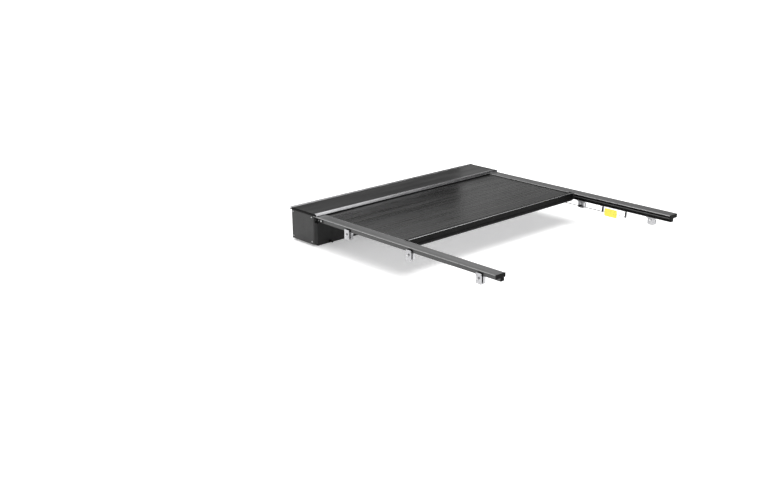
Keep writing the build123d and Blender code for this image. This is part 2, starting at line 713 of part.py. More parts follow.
def make_slat(index):
    """One hollow aluminium slat, with its lower edges bevelled so that the curtain can wind up."""
    low = BAR_FRONT + SLAT_PITCH * index + 0.3
    high = low + SLAT_PITCH - 0.6
    bevel = 2.5
    wall = 1.2
    half = (high - low) / 2
    outline = [
        (low, SLAT_TOP),
        (high, SLAT_TOP),
        (high, SLAT_BOTTOM + bevel),
        (high - bevel, SLAT_BOTTOM),
        (low + bevel, SLAT_BOTTOM),
        (low, SLAT_BOTTOM + bevel),
    ]
    with BuildPart() as slat:
        with BuildSketch(across(CURTAIN_HALF)):
            with BuildLine():
                Polyline(*outline, close=True)
            make_face()
            with Locations((low + half, (SLAT_BOTTOM + SLAT_TOP) / 2)):
                with GridLocations(half - wall, 0, 2, 1):
                    Rectangle(half - 3 * wall, SLAT_THICK - 2 * wall, mode=Mode.SUBTRACT)
        extrude(amount=2 * CURTAIN_HALF)
    return slat.part


# ---- Hand release -------------------------------------------------------------------------------
def make_sheath():
    """The cable's sheath, from the end cover down and inwards to its straight run along the rail."""
    with BuildPart() as sheath:
        with BuildLine() as route:
            FilletPolyline(*SHEATH_ROUTE, radius=60)
        with BuildSketch(Plane(origin=route.line @ 0, z_dir=route.line % 0)):
            Circle(SHEATH_RADIUS)
        sweep(path=route.line)
    return sheath.part


def make_ferrule(x, y, z, hole):
    """A metal end sleeve. Its hole stops short of the end that the sheath meets."""
    with BuildPart() as sleeve:
        rod_y(FERRULE_RADIUS, x, y, z)
        rod_y(WIRE_RADIUS + RUNNING_FIT, x, hole, z, mode=Mode.SUBTRACT)
    return sleeve.part


def make_cable_bracket(y, radius):
    """An angle bracket under the rail's foot, holding a sleeve of the cable."""
    sheet = 2.0
    leaf = 4.0
    with BuildPart() as bracket:
        block((FOOT_INNER + 2, 785), (y, y + 22), (FOOT_BOTTOM - sheet, FOOT_BOTTOM))
        block((CABLE_X - 5, 774), (y, y + leaf), (CABLE_Z - 7, FOOT_BOTTOM - sheet))
        rod_y(radius, CABLE_X, (y, y + leaf), CABLE_Z, mode=Mode.SUBTRACT)
    return bracket.part


def make_cable_clip(y):
    """A clip on a clamp's inner face, round the sheath."""
    span = (y - 6, y + 6)
    with BuildPart() as clip:
        block((CABLE_X - 4.5, CLAMP_BODY_INNER), span, (CABLE_Z - 5, CABLE_Z + 5))
        rod_y(SHEATH_RADIUS, CABLE_X, span, CABLE_Z, mode=Mode.SUBTRACT)
        fillet(clip.edges().filter_by(Axis.Y).group_by(Axis.X)[0], 2)
    return clip.part


def make_wire_guide():
    with BuildPart() as guide:
        rod_y(GUIDE_RADIUS, CABLE_X, GUIDE, CABLE_Z)
        rod_y(WIRE_RADIUS + RUNNING_FIT, CABLE_X, GUIDE, CABLE_Z, mode=Mode.SUBTRACT)
    return guide.part


def make_release_wire():
    with BuildPart() as wire:
        rod_y(WIRE_RADIUS, CABLE_X, (GUIDE[0] - 7, FERRULE[1] - 8), CABLE_Z)
    return wire.part


def make_wire_crimp():
    with BuildPart() as crimp:
        rod_y(3.0, CABLE_X, CRIMP, CABLE_Z)
        fillet(crimp.edges().filter_by(GeomType.CIRCLE), 0.8)
        rod_y(WIRE_RADIUS, CABLE_X, CRIMP, CABLE_Z, mode=Mode.SUBTRACT)
    return crimp.part


def make_release_tag():
    """The pull tag, a flat plate with a hem round the wire."""
    hem = 2.4
    with BuildPart() as tag:
        block((CABLE_X - hem, CABLE_X - WIRE_RADIUS), TAG, TAG_HEIGHT)
        fillet(tag.edges().filter_by(Axis.X), 4)
        rod_y(hem, CABLE_X, TAG, CABLE_Z)
        rod_y(WIRE_RADIUS, CABLE_X, TAG, CABLE_Z, mode=Mode.SUBTRACT)
    return tag.part


def make_clutch_wire():
    """The wire's front end, with the eye that pulls on the clutch lever's pin."""
    eye = (CLUTCH_X - 2, CLUTCH_X + 2)
    with BuildPart() as wire:
        rod_y(WIRE_RADIUS, CLUTCH_X, (CAN_REAR + 11, ROLLER_Y - 8), PIN_Z)
        block(eye, (ROLLER_Y - 9, ROLLER_Y + 8), (PIN_Z - 9, PIN_Z + 6))
        block(eye, (ROLLER_Y - 2.8, ROLLER_Y + 2.8), (PIN_Z - 6, PIN_Z + 3), Mode.SUBTRACT)
    return wire.part


def make_return_spring():
    """A compression spring between the front sleeve and the eye of the clutch wire."""
    low = FRONT_FERRULE[1] + 0.6
    length = ROLLER_Y - 9.6 - low
    turns = 10
    with BuildPart() as spring:
        with BuildLine() as path:
            Helix(length / turns, length, 3.2, center=(CLUTCH_X, low, PIN_Z), direction=(0, 1, 0))
        with BuildSketch(Plane(origin=path.line @ 0, z_dir=path.line % 0)):
            Circle(0.5)
        sweep(path=path.line, is_frenet=True)
    return spring.part


def make_clutch_lever():
    """The clutch's lever: a spindle through the bearing plate, an arm and a pin."""
    with BuildPart() as lever:
        rod_x(SPINDLE_RADIUS, (PLATE_INNER - 9, LEVER[0]), ROLLER_Y, ROLLER_Z)
        with BuildSketch(Plane.YZ.offset(LEVER[0])):
            with Locations((ROLLER_Y, ROLLER_Z)):
                Circle(12)
            with Locations((ROLLER_Y, ROLLER_Z + LEVER_ARM / 2)):
                Rectangle(9, LEVER_ARM)
            with Locations((ROLLER_Y, PIN_Z)):
                Circle(7)
        extrude(amount=LEVER[1] - LEVER[0])
        rod_x(2.5, (LEVER[1], CLUTCH_X + 4), ROLLER_Y, PIN_Z)
    return lever.part


# ---- Write every piece --------------------------------------------------------------------------
save_pair(make_rail(), "rail")
save_pair(make_rail_end_cap(), "rail_end_cap")
save_pair(make_rail_seal(), "rail_seal")

clamp_bodies = [make_clamp_body(y) for y in CLAMP_PLACES]
clamp_jaws = [make_clamp_jaw(y) for y in CLAMP_PLACES]
clamp_bolts = [make_clamp_bolt(y) for y in CLAMP_PLACES]
clamp_nuts = [make_clamp_nut(y) for y in CLAMP_PLACES]
clamp_screws = [make_clamp_screw(y + side) for y in CLAMP_PLACES for side in CLAMP_SCREW_PLACES]
joint_screws = [make_joint_screw(y) for y in JOINT_SCREWS]
for group, name in ((clamp_bodies, "clamp_bodies"), (clamp_jaws, "clamp_jaws")):
    save_group(group, f"{name}_right")
    save_group(mirrored(group), f"{name}_left")
save_group(clamp_bolts + mirrored(clamp_bolts), "clamp_bolts")
save_group(clamp_nuts + mirrored(clamp_nuts), "clamp_nuts")
save_group(clamp_screws + mirrored(clamp_screws), "clamp_screws")
save_group(joint_screws + mirrored(joint_screws), "rail_joint_screws")

save(make_housing(), "canister_housing")
save_group([make_drain_spigot(x) for x in DRAIN_PLACES], "drain_spigots")
save(make_mouth_guide(), "mouth_guide")
save(make_wiper(), "mouth_wiper")
save(make_bearing_plate(SPINDLE_RADIUS + RUNNING_FIT), "bearing_plate_right")
save(mirror(make_bearing_plate(BEARING_RADIUS), about=Plane.YZ), "bearing_plate_left")
save_pair(make_end_cover(), "end_cover")
cover_screws = [make_cover_screw(y, z) for y in (CAN_REAR + 20, CAN_FRONT - 20) for z in (30, CAN_TOP - 20)]
save_group(cover_screws + mirrored(cover_screws), "end_cover_screws")

save(make_lid_panel(), "lid_panel")
save(make_lid_skin(), "lid_skin")
save(make_lid_nose(), "lid_nose")
save(make_lid_front_trim(), "lid_front_trim")
save_pair(make_lid_end_cap(), "lid_end_cap")
save(make_bulkhead_seal(), "bulkhead_seal")

save(make_roller_tube(), "roller_tube")
save(make_idler_plug(), "idler_plug")
save(make_axle_bearing(), "axle_bearing")
save(make_drive_crown(), "drive_crown")
save(make_motor(), "motor")
save(make_motor_ring(), "motor_ring")
save(make_curtain_roll(), "curtain_roll")
save(make_control_case(), "control_case")
save(make_control_lid(), "control_lid")
save(make_power_gland(), "power_gland")

save(make_leading_bar(), "leading_bar")
save(make_bar_trim(), "bar_trim")
save_pair(make_bar_end_cap(), "bar_end_cap")
save_pair(make_glide(), "glide")
save(make_tailgate_seal(), "tailgate_seal")
save(make_curtain_skin(), "curtain_skin")
save_group([make_slat(index) for index in range(SLAT_COUNT)], "curtain_slats")

save(make_sheath(), "release_sheath")
front_sleeve = make_ferrule(CLUTCH_X, FRONT_FERRULE, PIN_Z, (FRONT_FERRULE[0] + 4, FRONT_FERRULE[1]))
rear_sleeve = make_ferrule(CABLE_X, FERRULE, CABLE_Z, (FERRULE[0], FERRULE[1] - 4))
save_group([front_sleeve, rear_sleeve], "sheath_ferrules")
ferrule_bracket = make_cable_bracket(FERRULE[1] - 20, FERRULE_RADIUS)
guide_bracket = make_cable_bracket(GUIDE[0] + 6, GUIDE_RADIUS)
save_group([ferrule_bracket, guide_bracket], "cable_brackets")
save_group([make_cable_clip(y) for y in CLAMP_PLACES[:2]], "cable_clips")
save(make_wire_guide(), "wire_guide")
save(make_release_wire(), "release_wire")
save(make_wire_crimp(), "wire_crimp")
save(make_release_tag(), "release_tag")
save(make_clutch_wire(), "clutch_wire")
save(make_return_spring(), "return_spring")
save(make_clutch_lever(), "clutch_lever")
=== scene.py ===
"""Looks of the retractable truck-bed cover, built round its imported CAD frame."""

import math

import bpy
from mathutils import Matrix, Vector, noise


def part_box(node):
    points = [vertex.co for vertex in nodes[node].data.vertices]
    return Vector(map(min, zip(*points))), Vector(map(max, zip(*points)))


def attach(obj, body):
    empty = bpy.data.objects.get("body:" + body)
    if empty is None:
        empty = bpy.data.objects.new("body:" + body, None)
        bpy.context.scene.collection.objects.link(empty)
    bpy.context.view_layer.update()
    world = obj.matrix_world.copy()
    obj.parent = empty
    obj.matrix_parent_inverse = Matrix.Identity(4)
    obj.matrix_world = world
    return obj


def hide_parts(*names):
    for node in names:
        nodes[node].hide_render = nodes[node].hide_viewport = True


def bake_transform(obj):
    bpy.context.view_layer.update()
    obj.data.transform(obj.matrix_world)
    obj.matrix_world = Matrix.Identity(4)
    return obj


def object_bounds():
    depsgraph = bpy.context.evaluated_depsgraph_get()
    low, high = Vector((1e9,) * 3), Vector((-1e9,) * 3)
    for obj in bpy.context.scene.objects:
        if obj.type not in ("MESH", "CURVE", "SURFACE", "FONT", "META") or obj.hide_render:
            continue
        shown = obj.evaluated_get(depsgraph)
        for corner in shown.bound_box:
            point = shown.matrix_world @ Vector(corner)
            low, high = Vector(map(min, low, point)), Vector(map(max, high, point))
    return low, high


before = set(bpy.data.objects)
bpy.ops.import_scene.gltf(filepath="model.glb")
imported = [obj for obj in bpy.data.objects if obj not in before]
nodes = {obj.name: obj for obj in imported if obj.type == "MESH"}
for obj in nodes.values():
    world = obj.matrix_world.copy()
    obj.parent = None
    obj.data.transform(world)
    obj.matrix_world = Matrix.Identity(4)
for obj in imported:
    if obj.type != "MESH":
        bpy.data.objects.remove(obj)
cad_low, cad_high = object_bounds()

MM = 0.001
SLAT_COUNT = 32

# ---- Camera and studio values, in metres and degrees --------------------------------------------
CAMERA_PLACE = (-4.688, -4.290, 2.025)
CAMERA_AZIMUTH = -41.82
CAMERA_ELEVATION = 18.16
CAMERA_ROLL = -0.56
CAMERA_LENS = 49.8  # mm, on a sensor 36 mm wide
SENSOR_WIDTH = 36

FLOOR_REACH = 60
FLOOR_SHADE = 0.9
FLOOR_GLOW = 0.32
WINDOW_X = (-0.67, 0.96)  # the cab's rear window, as the cover mirrors it
WINDOW_Y = (1.10, 1.10)
WINDOW_BOTTOM = (0.20, 0.20)  # heights at the left end and at the right end
WINDOW_MIDDLE = (0.42, 0.66)
WINDOW_TOP = (1.20, 1.20)

SOFTBOX_PLACE = (0.1, 0.8, 4.0)
SOFTBOX_SIZE = (6.2, 5.6)
SOFTBOX_POWER = 184
WASH_STRENGTH = 1.3
WASH_SPREAD = 40
WASH_TILT = (-8, 6, 0)
WORLD_STRENGTH = 0.55

ALONG_X = (0.03, 1, 1)  # scale that draws a pattern out along the cross-wise extrusions


# ---- Camera, floor and lights -------------------------------------------------------------------
def make_camera():
    """The photographer's place behind the left of the truck, looking forward and down."""
    azimuth = math.radians(CAMERA_AZIMUTH)
    elevation = math.radians(CAMERA_ELEVATION)
    roll = math.radians(CAMERA_ROLL)
    back = Vector((
        math.sin(azimuth) * math.cos(elevation),
        -math.cos(azimuth) * math.cos(elevation),
        math.sin(elevation),
    ))
    level = Vector((math.cos(azimuth), math.sin(azimuth), 0))
    up = back.cross(level)
    right_axis = level * math.cos(roll) + up * math.sin(roll)
    up_axis = up * math.cos(roll) - level * math.sin(roll)
    data = bpy.data.cameras.new("camera")
    data.sensor_width = SENSOR_WIDTH
    data.lens = CAMERA_LENS
    camera = bpy.data.objects.new("camera", data)
    bpy.context.scene.collection.objects.link(camera)
    turn = Matrix((right_axis, up_axis, back)).transposed().to_4x4()
    camera.matrix_world = Matrix.Translation(CAMERA_PLACE) @ turn
    bpy.context.scene.camera = camera


def make_card(name, corners, shade, glow):
    """One flat, matt sheet of the studio: its floor, or a card that stands for something nearby."""
    mesh = bpy.data.meshes.new(name)
    mesh.from_pydata(corners, [], [(0, 1, 2, 3)])
    card = bpy.data.objects.new(name, mesh)
    bpy.context.scene.collection.objects.link(card)
    material = bpy.data.materials.new(name)
    material.use_nodes = True
    shader = material.node_tree.nodes["Principled BSDF"]
    shader.inputs["Base Color"].default_value = (shade, shade, shade, 1)
    shader.inputs["Roughness"].default_value = 0.95
    shader.inputs["Specular IOR Level"].default_value = 0.0
    shader.inputs["Emission Color"].default_value = (1, 1, 1, 1)
    shader.inputs["Emission Strength"].default_value = glow
    mesh.materials.append(material)
    return card


def make_reflected_card(name, x_span, y_span, bottom, top, glow):
    """An upright card that shows only in reflections. Each edge is given by its two ends."""
    corners = [
        (x_span[0], y_span[0], bottom[0]),
        (x_span[1], y_span[1], bottom[1]),
        (x_span[1], y_span[1], top[1]),
        (x_span[0], y_span[0], top[0]),
    ]
    card = make_card(name, corners, 0.01, glow)
    card.visible_camera = False
    card.visible_diffuse = False
    card.visible_shadow = False


def make_studio(floor_height):
    """A pale lit floor, the cab's rear window with the sky above, and a dark flag on the right."""
    signs = ((-1, -1), (1, -1), (1, 1), (-1, 1))
    corners = [(x * FLOOR_REACH, y * FLOOR_REACH, floor_height) for x, y in signs]
    make_card("studio_floor", corners, FLOOR_SHADE, FLOOR_GLOW)
    make_reflected_card("dark_window", WINDOW_X, WINDOW_Y, WINDOW_BOTTOM, WINDOW_MIDDLE, 0.04)
    make_reflected_card("pale_window", WINDOW_X, WINDOW_Y, WINDOW_MIDDLE, WINDOW_TOP, 0.64)
    make_reflected_card("right_flag", (5, 5), (-5, 4), (2.2, 2.2), (6.5, 6.5), 0)


def make_softbox(place, size, power):
    """One rectangular light, which shines straight down."""
    data = bpy.data.lights.new("softbox", "AREA")
    data.shape = "RECTANGLE"
    data.size, data.size_y = size
    data.energy = power
    light = bpy.data.objects.new("softbox", data)
    light.location = place
    bpy.context.scene.collection.objects.link(light)


def make_wash(strength, spread_degrees, tilt_degrees):
    """A broad, soft light from far above."""
    data = bpy.data.lights.new("wash", "SUN")
    data.energy = strength
    data.angle = math.radians(spread_degrees)
    light = bpy.data.objects.new("wash", data)
    light.rotation_euler = [math.radians(angle) for angle in tilt_degrees]
    bpy.context.scene.collection.objects.link(light)


def make_world(strength):
    """An even white surround."""
    world = bpy.data.worlds.new("studio")
    world.use_nodes = True
    background = world.node_tree.nodes["Background"]
    background.inputs["Color"].default_value = (1, 1, 1, 1)
    background.inputs["Strength"].default_value = strength
    bpy.context.scene.world = world


# ---- Shader helpers -----------------------------------------------------------------------------
def grey(value, blue=0.0):
    """A grey colour. Its blue can be a little more, or a little less."""
    return value, value, value + blue


class Shader:
    """One procedural material, with short calls for the nodes used most."""

    def __init__(self, name, **values):
        self.material = bpy.data.materials.new(name)
        self.material.use_nodes = True
        self.tree = self.material.node_tree
        self.surface = self.tree.nodes["Principled BSDF"]
        for socket, value in values.items():
            self.surface.inputs[socket.replace("_", " ")].default_value = value
        self.place = self.node("ShaderNodeTexCoord").outputs["Object"]

    def node(self, kind, **settings):
        """Adds one node."""
        made = self.tree.nodes.new(kind)
        for name, value in settings.items():
            setattr(made, name, value)
        return made

    def link(self, source, target):
        """Joins an output to an input."""
        self.tree.links.new(source, target)

    def stretched(self, scale):
        """Object coordinates scaled by a different number along each axis."""
        mapping = self.node("ShaderNodeMapping")
        mapping.inputs["Scale"].default_value = scale
        self.link(self.place, mapping.inputs["Vector"])
        return mapping.outputs["Vector"]

    def noise(self, scale, detail=2.0, roughness=0.5, vector=None):
        """Cloudy noise, from 0 to 1."""
        made = self.node("ShaderNodeTexNoise")
        made.inputs["Scale"].default_value = scale
        made.inputs["Detail"].default_value = detail
        made.inputs["Roughness"].default_value = roughness
        self.link(vector or self.place, made.inputs["Vector"])
        return made.outputs["Fac"]

    def cells(self, scale, feature="F1"):
        """Distance from the middle of the nearest of many random cells."""
        made = self.node("ShaderNodeTexVoronoi", feature=feature)
        made.inputs["Scale"].default_value = scale
        self.link(self.place, made.inputs["Vector"])
        return made.outputs["Distance"]

    def spread(self, source, low, high, to_low, to_high):
        """Maps low..high to to_low..to_high, clamped."""
        made = self.node("ShaderNodeMapRange")
        self.link(source, made.inputs["Value"])
        made.inputs["From Min"].default_value = low
        made.inputs["From Max"].default_value = high
        made.inputs["To Min"].default_value = to_low
        made.inputs["To Max"].default_value = to_high
        return made.outputs["Result"]

    def maths(self, operation, first, second):
        """One sum on two values. Each is a number or an output."""
        made = self.node("ShaderNodeMath", operation=operation)
        for socket, value in zip(made.inputs, (first, second)):
            if isinstance(value, (int, float)):
                socket.default_value = value
            else:
                self.link(value, socket)
        return made.outputs["Value"]

    def mix(self, factor, first, second):
        """Mixes two colours. Each is a colour or another mix."""
        made = self.node("ShaderNodeMix", data_type="RGBA")
        self.link(factor, made.inputs["Factor"])
        for socket, value in ((made.inputs["A"], first), (made.inputs["B"], second)):
            if isinstance(value, tuple):
                socket.default_value = (*value, 1)
            else:
                self.link(value, socket)
        return made.outputs["Result"]

    def shade(self, source, low, high, first, second):
        """The first colour where the source is below low, the second where it is above high."""
        return self.mix(self.spread(source, low, high, 0, 1), first, second)

    def colour(self, source):
        """Sets the base colour."""
        self.link(source, self.surface.inputs["Base Color"])

    def roughness(self, source, low, high, smooth, rough):
        """Sets the roughness: smooth where the source is below low, rough where it is above high."""
        self.link(self.spread(source, low, high, smooth, rough), self.surface.inputs["Roughness"])

    def bump(self, *heights):
        """Adds one bump after another: (height, distance in metres, strength)."""
        normal = None
        for height, distance, strength in heights:
            made = self.node("ShaderNodeBump")
            made.inputs["Distance"].default_value = distance
            made.inputs["Strength"].default_value = strength
            self.link(height, made.inputs["Height"])
            if normal:
                self.link(normal, made.inputs["Normal"])
            normal = made.outputs["Normal"]
        self.link(normal, self.surface.inputs["Normal"])


# ---- Materials ----------------------------------------------------------------------------------
def make_powder_coat(name, dark, light, roughness, specular):
    """Fine orange-peel powder coat with faint cloudy variation."""
    shader = Shader(name, Specular_IOR_Level=specular)
    cloud = shader.noise(9, 4, 0.6)
    grain = shader.noise(900, 2, 0.5)
    shader.colour(shader.shade(cloud, 0.3, 0.7, dark, light))
    shader.roughness(shader.noise(40, 3), 0.3, 0.7, roughness - 0.06, roughness + 0.06)
    shader.bump((grain, 0.0002, 0.5))
    return shader.material


def make_rail_paint():
    """Textured black coat on the rails, with a painted highlight along the rounded inner and outer top
    edges, where they catch the light, and painted shade low on the rail.
    """
    shader = Shader("rail_coat", Specular_IOR_Level=0.7)
    cloud = shader.noise(7, 4, 0.6, shader.stretched((3, 0.5, 3)))
    streak = shader.noise(60, 3, 0.6, shader.stretched((4, 0.06, 4)))
    band = shader.noise(55, 2, 0.5, shader.stretched((1, 0.02, 0.2)))
    highlight_grey = grey(0.55)
    pale_streak = grey(0.095, 0.001)
    coat = shader.shade(cloud, 0.3, 0.7, grey(0.062, 0.001), grey(0.084, 0.001))
    coat = shader.mix(shader.spread(streak, 0.52, 0.75, 0, 0.6), coat, pale_streak)
    coat = shader.mix(shader.spread(band, 0.35, 0.65, 0.5, 0), coat, grey(0.016))

    split = shader.node("ShaderNodeSeparateXYZ")
    shader.link(shader.place, split.inputs["Vector"])
    side = shader.maths("ABSOLUTE", split.outputs["X"], 0)
    height = split.outputs["Z"]
    low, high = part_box("rail_right")
    # Painted shade: more than 20 mm below the rail's top the coat is much darker, for the shade under
    # the top flange.
    painted_under_shade = shader.spread(height, high.z - 21 * MM, high.z - 20 * MM, 1, 0)
    coat = shader.mix(painted_under_shade, coat, grey(0.020))

    # Painted highlight: pale grey, a little metallic and broken up by noise, along the inner and outer
    # top edges, standing in for the light their rounded edges catch.
    inner_edge = shader.spread(side, low.x + 0.6 * MM, low.x + 2.4 * MM, 1, 0)
    outer_edge = shader.spread(side, high.x - 2.2 * MM, high.x - 1.2 * MM, 0, 0.45)
    at_top = shader.spread(height, high.z - 6 * MM, high.z - 3.2 * MM, 0, 1)
    highlight_breakup = shader.spread(shader.noise(35, 4, 0.7), 0.3, 0.5, 0.45, 1)
    painted_edge_highlight = shader.maths("MULTIPLY", shader.maths("MAXIMUM", inner_edge, outer_edge), at_top)
    painted_edge_highlight = shader.maths("MULTIPLY", painted_edge_highlight, highlight_breakup)
    shader.colour(shader.mix(painted_edge_highlight, coat, highlight_grey))
    shader.link(shader.maths("MULTIPLY", painted_edge_highlight, 0.25), shader.surface.inputs["Metallic"])
    shader.roughness(painted_edge_highlight, 0, 1, 0.38, 0.32)
    shader.bump((shader.noise(1100, 2, 0.6), 0.00022, 0.55), (streak, 0.0001, 0.3))
    return shader.material


def make_vinyl(name, dark, light, smooth, rough):
    """Coated fabric with small pebbles, fine creases, and long streaks across the truck; in the colour
    the streaks are a painted sheen.
    """
    shader = Shader(name, Specular_IOR_Level=0.40)
    pebble = shader.cells(420, "SMOOTH_F1")
    crease = shader.noise(1400, 3, 0.6)
    cloud = shader.noise(5, 5, 0.62, shader.stretched((0.6, 2.2, 1)))
    streak = shader.noise(26, 3, 0.5, shader.stretched((0.05, 1, 1)))
    # The colour mixes a cloudy tone with the streaks, which paint in sheen lines; the streaks also
    # vary the roughness.
    tone = shader.maths("MULTIPLY", shader.maths("ADD", cloud, streak), 0.5)
    shader.colour(shader.shade(tone, 0.38, 0.62, dark, light))
    shader.roughness(streak, 0.34, 0.66, smooth, rough)
    shader.bump((pebble, 0.0003, 0.14), (crease, 0.0001, 0.15))
    return shader.material


def make_bare_aluminium(name, tone, roughness):
    """Satin metal with fine drawing lines along the extrusion and a little mottling."""
    shader = Shader(name, Metallic=1.0)
    lines = shader.noise(500, 3, 0.6, shader.stretched(ALONG_X))
    mottle = shader.noise(14, 4, 0.6)
    dull = tuple(0.82 * part for part in tone)
    shader.colour(shader.shade(mottle, 0.3, 0.7, dull, tone))
    shader.roughness(lines, 0.3, 0.7, roughness - 0.05, roughness + 0.07)
    shader.bump((lines, 0.00004, 0.3))
    return shader.material


def make_cast_aluminium():
    """Slightly pitted, stained casting, for the clamps."""
    shader = Shader("clamp_aluminium", Metallic=1.0)
    pits = shader.noise(600, 3, 0.7)
    stain = shader.noise(45, 4, 0.65)
    shader.colour(shader.shade(stain, 0.35, 0.7, grey(0.46, 0.01), grey(0.34, 0.01)))
    shader.roughness(stain, 0.3, 0.7, 0.30, 0.45)
    shader.bump((pits, 0.00015, 0.35))
    return shader.material


def make_plated_steel():
    """Zinc plate with a faint spangle."""
    shader = Shader("plated_steel", Metallic=1.0)
    spangle = shader.cells(260)
    shader.colour(shader.shade(spangle, 0, 0.8, grey(0.52, 0.01), grey(0.66)))
    shader.roughness(shader.noise(80, 3), 0.3, 0.7, 0.26, 0.42)
    shader.bump((shader.noise(900, 2), 0.00004, 0.3))
    return shader.material


def make_moulded_plastic(name, dark, light, specular):
    """Moulded plastic with a spark-eroded grain."""
    shader = Shader(name, Specular_IOR_Level=specular)
    shader.colour(shader.shade(shader.noise(12, 4), 0.3, 0.7, dark, light))
    shader.roughness(shader.noise(120, 3), 0.3, 0.7, 0.46, 0.6)
    shader.bump((shader.noise(1500, 3, 0.7), 0.00012, 0.5))
    return shader.material


def make_rubber(name):
    """Matt rubber with a pale bloom in places."""
    shader = Shader(name, Specular_IOR_Level=0.38)
    bloom = shader.noise(18, 5, 0.65)
    shader.colour(shader.shade(bloom, 0.4, 0.75, grey(0.020), grey(0.038, -0.001)))
    shader.roughness(bloom, 0.3, 0.7, 0.62, 0.8)
    shader.bump((shader.noise(1200, 3, 0.6), 0.0001, 0.5))
    return shader.material


def make_foam():
    """Closed-cell foam, skinned, with open pores that are painted darker inside, as painted shade."""
    shader = Shader("seal_foam", Specular_IOR_Level=0.15, Roughness=0.92)
    pores = shader.cells(700)
    # Painted shade: each pore is coloured darker towards its middle, where the bump sinks it.
    shader.colour(shader.shade(pores, 0, 0.6, grey(0.008), grey(0.028)))
    shader.bump((pores, 0.0006, 0.8), (shader.noise(60, 3), 0.0004, 0.4))
    return shader.material


def make_tag_vinyl():
    """Yellow coated cloth, slightly soiled in patches."""
    shader = Shader("tag_vinyl", Specular_IOR_Level=0.4)
    soil = shader.noise(70, 5, 0.7)
    weave = shader.cells(1300)
    shader.colour(shader.shade(soil, 0.52, 0.8, (0.90, 0.80, 0.10), (0.62, 0.53, 0.06)))
    shader.roughness(soil, 0.3, 0.7, 0.36, 0.5)
    shader.bump((weave, 0.00008, 0.4))
    return shader.material


def dress(material, *names):
    """Gives CAD nodes a material."""
    for name in names:
        mesh = nodes[name].data
        mesh.materials.clear()
        mesh.materials.append(material)
        for polygon in mesh.polygons:
            polygon.material_index = 0


def both(name):
    """The left and the right node of a pair."""
    return f"{name}_left", f"{name}_right"


# ---- Mesh helpers -------------------------------------------------------------------------------
def new_piece(name, points, faces, material, smooth=True):
    """Makes one visible object from points and faces."""
    mesh = bpy.data.meshes.new(name)
    mesh.from_pydata(points, [], faces)
    mesh.validate()
    mesh.materials.append(material)
    if smooth:
        mesh.shade_smooth()
    else:
        mesh.shade_flat()
    piece = bpy.data.objects.new(name, mesh)
    bpy.context.scene.collection.objects.link(piece)
    return piece


def strip_mesh(profiles):
    """A solid that joins cross-sections of equal length one after another, closed at both ends."""
    count = len(profiles[0])
    points = [point for profile in profiles for point in profile]
    faces = []
    for row in range(len(profiles) - 1):
        for column in range(count):
            a = row * count + column
            b = row * count + (column + 1) % count
            faces.append((a, b, b + count, a + count))
    faces.append(tuple(reversed(range(count))))
    last = (len(profiles) - 1) * count
    faces.append(tuple(range(last, last + count)))
    return points, faces


def along_x(outline, x_places):
    """The same (y, z) outline at each x."""
    return [[(x, y, z) for y, z in outline] for x in x_places]


def spaced(low, high, count):
    """Evenly spaced numbers from low to high, in count steps."""
    return [low + (high - low) * step / count for step in range(count + 1)]


def add_solid(mesh_points, mesh_faces, points, faces):
    """Adds one closed solid's points and faces to the lists of a larger mesh."""
    first = len(mesh_points)
    mesh_points.extend(points)
    mesh_faces.extend(tuple(first + corner for corner in face) for face in faces)


def ripple(x, y, seed):
    """Smooth random height, about -1 to 1, at scaled coordinates."""
    return noise.noise(Vector((x, y, seed)))


# ---- Curtain ------------------------------------------------------------------------------------
def slat_pitch():
    """Distance from one slat of the flat curtain to the next."""
    low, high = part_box("curtain_slats")
    return (high.y - low.y) / SLAT_COUNT


def slat_outline(low, high, top, bottom):
    """(y, z) outline of one slat, with bevelled lower edges and a lip where it meets the next."""
    bevel = 2.5 * MM
    lip = 1.2 * MM
    round_off = 0.5 * MM
    return [
        (low, top - lip),
        (low + round_off, top),
        (high - round_off, top),
        (high, top - lip),
        (high, bottom + bevel),
        (high - bevel, bottom),
        (low + bevel, bottom),
        (low, bottom + bevel),
    ]


def make_slats(material):
    """The flat run of aluminium slats."""
    low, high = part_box("curtain_slats")
    pitch = slat_pitch()
    gap = 0.35 * MM
    points, faces = [], []
    for index in range(SLAT_COUNT):
        start = low.y + pitch * index + gap
        outline = slat_outline(start, start + pitch - 2 * gap, high.z, low.z)
        add_solid(points, faces, *strip_mesh(along_x(outline, (low.x, high.x))))
    slats = new_piece("curtain_slat_run", points, faces, material, smooth=False)
    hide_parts("curtain_slats")
    return slats


